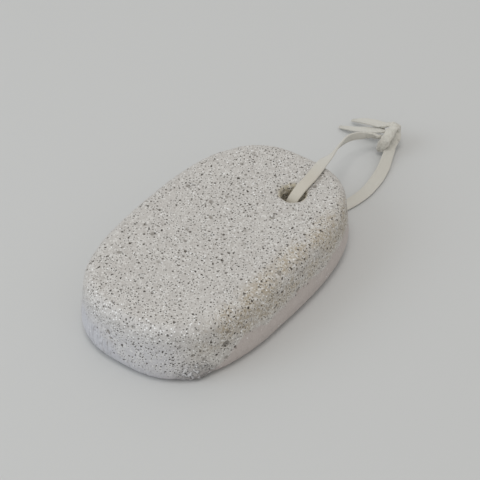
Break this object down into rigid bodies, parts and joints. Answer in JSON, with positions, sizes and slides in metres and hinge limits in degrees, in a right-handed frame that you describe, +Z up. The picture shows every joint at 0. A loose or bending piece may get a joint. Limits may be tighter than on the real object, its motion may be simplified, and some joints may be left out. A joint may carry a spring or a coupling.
{
  "type": "pumice stone",
  "caption": "Rounded oblong block of pale foamed pumice, drilled near one end, with a knotted loop of flat cotton tape through the hole.",
  "frame": {"origin": "under the middle of the stone's own bounding box, on the surface that it rests on", "axes": "+X along the stone towards its drilled end, +Y across it, +Z up out of its flat top"},
  "size_m": [0.1467, 0.0622, 0.0236],
  "materials": {
    "pumice": "rough foamed pumice, densely pitted on top, with a smoother closed skin low on the sides",
    "cotton_tape": "off-white woven flat tape"
  },
  "bodies": {
    "root": {"stone": "pumice", "cord_upper_run": "cotton_tape", "cord_lower_run": "cotton_tape", "cord_knot": "cotton_tape", "cord_tail_upper": "cotton_tape", "cord_tail_lower": "cotton_tape"}
  },
  "joints": []
}
